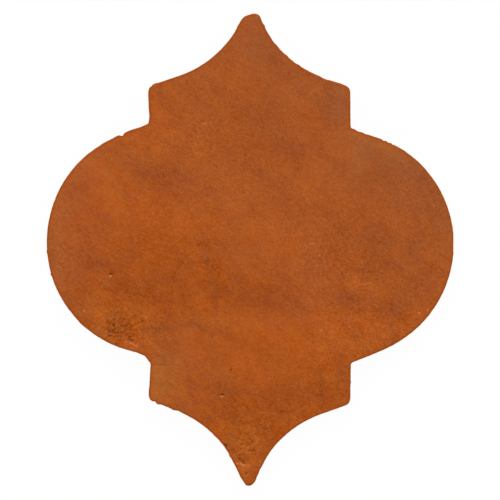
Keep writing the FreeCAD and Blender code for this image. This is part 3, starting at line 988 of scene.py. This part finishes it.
stained = node(finish, "ShaderNodeMapRange", {
    "Value": axes["Z"], "From Min": STAIN_FADES, "From Max": STAIN_STARTS})
colour = node(finish, "ShaderNodeMix", {
    "Factor": stained, "A": (*linear(RAW_CLAY), 1), "B": colour}, data_type="RGBA")
raised = node(finish, "ShaderNodeBump", {"Height": grain, "Strength": 1, "Distance": GRAIN_HEIGHT})
dullness = node(finish, "ShaderNodeMath", {
    0: pattern["sealer"], 1: DULL_SWING, 2: DULL}, operation="MULTIPLY_ADD")
surface = node(finish, "ShaderNodeBsdfPrincipled", {
    "Base Color": colour, "Roughness": dullness, "Normal": raised, "IOR": 1.5, "Specular IOR Level": 0.05})
node(finish, "ShaderNodeOutputMaterial", {"Surface": surface})
print(terracotta.name, "with", len(finish.nodes), "nodes")

# %% [markdown]
# The relief follows the surface: slow swells where the slab dried unevenly, dimples from fingers and board,
# pits, and torn patches. Sculpting could give it, but not twice alike. A Geometry Nodes tree can, and its sizes
# stay open to change as named inputs. The seed is one of them, so every run gives the same tile.

# %% Inputs of the relief
RELIEF = {
    "Swell size": 70 * MM,
    "Swell depth": 0.35 * MM,
    "Dimple size": 8 * MM,
    "Dimple depth": 0.08 * MM,
    "Torn size": 2.2 * MM,
    "Torn depth": 0.35 * MM,
    "Pit depth": 0.9 * MM,
    "Underside size": 12 * MM,
    "Underside depth": 0.25 * MM,
    "Seed": 4.0,
}

relief = bpy.data.node_groups.new("hand_rubbed_relief", "GeometryNodeTree")
relief.interface.new_socket("Geometry", in_out="INPUT", socket_type="NodeSocketGeometry")
relief.interface.new_socket("Finish", in_out="INPUT", socket_type="NodeSocketMaterial")
for name in RELIEF:
    relief.interface.new_socket(name, in_out="INPUT", socket_type="NodeSocketFloat")
relief.interface.new_socket("Geometry", in_out="OUTPUT", socket_type="NodeSocketGeometry")
given = node(relief, "NodeGroupInput").outputs
print(relief.name, "with", len(RELIEF), "sizes")

# %% [markdown]
# All four kinds of unevenness are the same thing at another size: waves, as clay makes them when it shrinks or
# is dragged. A displacement texture for each would do, but one noise in a loop is shorter. Each kind has its
# own size, its own depth, and a few finer layers.

# %% Waves in the clay
FINER_LAYERS = {"Swell": 1, "Dimple": 2, "Torn": 2, "Underside": 3}

spot = node(relief, "GeometryNodeInputPosition")
waves = {}
for kind, layers in FINER_LAYERS.items():
    per_metre = node(relief, "ShaderNodeMath", {0: 1, 1: given[kind + " size"]}, operation="DIVIDE")
    wave = node(relief, "ShaderNodeTexNoise", {
        "Vector": spot, "W": given["Seed"], "Scale": per_metre, "Detail": layers}, noise_dimensions="4D")
    waves[kind] = node(relief, "ShaderNodeMath", {0: wave, 1: given[kind + " depth"]}, operation="MULTIPLY")
print(len(waves), "kinds of waves")

# %% [markdown]
# The face only sinks and the underside only rises, so that the solid's box still holds the tile. Moving points
# along their normals would push the walls out, so they move straight up or down, by less and less towards the
# middle of the wall. The tree ends in Realize Instances and Set Material, which the export needs.

# %% Sink the face and lift the underside
sunk = node(relief, "ShaderNodeMath", {0: waves["Swell"], 1: waves["Dimple"]})
for mark, depth in (("torn", waves["Torn"]), ("pit", given["Pit depth"])):
    marked = node(relief, "GeometryNodeInputNamedAttribute", {"Name": mark}, data_type="FLOAT")
    sunk = node(relief, "ShaderNodeMath", {0: marked, 1: depth, 2: sunk}, operation="MULTIPLY_ADD")
level = node(relief, "ShaderNodeSeparateXYZ", {0: spot}).outputs["Z"]
down_at_face = node(relief, "ShaderNodeMapRange", {
    "Value": level, "From Min": THICKNESS / 2, "From Max": THICKNESS, "To Max": -1})
up_at_base = node(relief, "ShaderNodeMapRange", {
    "Value": level, "From Min": THICKNESS / 2, "From Max": 0})
risen = node(relief, "ShaderNodeMath", {0: waves["Underside"], 1: up_at_base}, operation="MULTIPLY")
change = node(relief, "ShaderNodeMath", {0: sunk, 1: down_at_face, 2: risen}, operation="MULTIPLY_ADD")
step = node(relief, "ShaderNodeCombineXYZ", {"Z": change})
shaped = node(relief, "GeometryNodeSetPosition", {"Geometry": given["Geometry"], "Offset": step})
whole = node(relief, "GeometryNodeRealizeInstances", {"Geometry": shaped})
finished = node(relief, "GeometryNodeSetMaterial", {"Geometry": whole, "Material": given["Finish"]})
node(relief, "NodeGroupOutput", {"Geometry": finished})
print(relief.name, "with", len(relief.nodes), "nodes")

# %% [markdown]
# Out of the kiln, the tile no longer changes. A live modifier would, and the export can't carry it. So the
# tree is put on a blank, its inputs are set by their identifiers, and the evaluated result is kept as a plain
# mesh. The blank and its modifier then go.

# %% The finished tile
blank = add_object("blank", slab)
modifier = blank.modifiers.new("relief", "NODES")
modifier.node_group = relief
inputs = {"Finish": terracotta, **RELIEF}
for socket in relief.interface.items_tree:
    if socket.in_out == "INPUT" and socket.name in inputs:
        modifier[socket.identifier] = inputs[socket.name]
fired = blank.evaluated_get(bpy.context.evaluated_depsgraph_get())
tile = add_object("rubbed_clay_tile", bpy.data.meshes.new_from_object(fired))
bpy.data.objects.remove(blank)
print(tile.name, "of", sum(len(face.vertices) - 2 for face in tile.data.polygons), "triangles")

# %% [markdown]
# The tile lies on white paper. Paper lit to pure white would throw too much light back at the tile, so it is
# plain matt paper to the light, and nearly all white where it is seen directly. The small rest keeps a faint
# shadow, which sets the tile on the ground.

# %% White paper floor
FLOOR_SIDE = 8
PAPER = "#fbfbfb"
SHADOW_SHARE = 0.03


def seen_directly(tree):
    """1 where the camera, a mirror or glass looks at a surface, 0 where it only gives light to others."""
    path = node(tree, "ShaderNodeLightPath").outputs
    either = node(tree, "ShaderNodeMath", {
        0: path["Is Camera Ray"], 1: path["Is Glossy Ray"]}, operation="MAXIMUM")
    return node(tree, "ShaderNodeMath", {0: either, 1: path["Is Transmission Ray"]}, operation="MAXIMUM")


white_paper = bpy.data.materials.new("white_paper")
white_paper.use_nodes = True
sheet = white_paper.node_tree
sheet.nodes.clear()
matt = node(sheet, "ShaderNodeBsdfDiffuse", {"Color": (*linear(PAPER), 1)})
white = node(sheet, "ShaderNodeEmission", {"Strength": 1})
glow = node(sheet, "ShaderNodeMath", {0: seen_directly(sheet), 1: 1 - SHADOW_SHARE}, operation="MULTIPLY")
both = node(sheet, "ShaderNodeMixShader", {0: glow, 1: matt, 2: white})
node(sheet, "ShaderNodeOutputMaterial", {"Surface": both})

half = FLOOR_SIDE / 2
paper_mesh = bpy.data.meshes.new("floor")
paper_mesh.from_pydata([(-half, -half, 0), (half, -half, 0), (half, half, 0), (-half, half, 0)], [],
                       [(0, 1, 2, 3)])
paper_mesh.materials.append(white_paper)
floor = add_object("floor", paper_mesh)
print("paper", FLOOR_SIDE, "m wide")

# %% [markdown]
# The tile was photographed in even light from all round, as a light tent gives it, with less from overhead. A
# ring of lamps would leave as many shadows. A world that is bright at the sides and darker at the top does the
# same with none, and it is plain white where it is seen directly.

# %% Light tent
TENT_SIDE = 0.95
TENT_TOP = 0.4
TOP_FROM = 0.2

tent = bpy.data.worlds.new("light_tent")
tent.use_nodes = True
cloth = tent.node_tree
cloth.nodes.clear()
towards = node(cloth, "ShaderNodeTexCoord").outputs["Generated"]
up = node(cloth, "ShaderNodeSeparateXYZ", {0: towards}).outputs["Z"]
light = node(cloth, "ShaderNodeMapRange", {
    "Value": up, "From Min": TOP_FROM, "From Max": 1, "To Min": TENT_SIDE, "To Max": TENT_TOP})
strength = node(cloth, "ShaderNodeMix", {"Factor": seen_directly(cloth), "A": light, "B": 1.0})
back = node(cloth, "ShaderNodeBackground", {"Color": (1, 1, 1, 1), "Strength": strength})
node(cloth, "ShaderNodeOutputWorld", {"Surface": back})
bpy.context.scene.world = tent
print("tent of", TENT_SIDE, "at the sides and", TENT_TOP, "overhead")

# %% [markdown]
# One large softbox shines from the top of the picture and gives the pits their shade. Close by, it would light
# the upper tip more than the lower one, so it stands far off. A sun would be as even, but its shadows are too
# sharp. The colours are shown as they are, by the Standard view.

# %% Softbox
SOFTBOX_POWER = 400
SOFTBOX_SIZE = 4.8
SOFTBOX_HEIGHT = math.radians(55)
SOFTBOX_DISTANCE = 9

softbox = add_object("softbox", bpy.data.lights.new("softbox", "AREA"))
softbox.data.size = SOFTBOX_SIZE
softbox.data.energy = SOFTBOX_POWER
aim = Vector((0, math.cos(SOFTBOX_HEIGHT), math.sin(SOFTBOX_HEIGHT)))
softbox.location = aim * SOFTBOX_DISTANCE
softbox.rotation_euler = aim.to_track_quat("Z", "Y").to_euler()
bpy.context.scene.view_settings.view_transform = "Standard"
print("softbox", SOFTBOX_DISTANCE, "m away")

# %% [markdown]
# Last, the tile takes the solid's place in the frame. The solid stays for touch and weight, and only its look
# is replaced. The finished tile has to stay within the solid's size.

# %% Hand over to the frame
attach(tile, "root")
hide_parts(TILE)
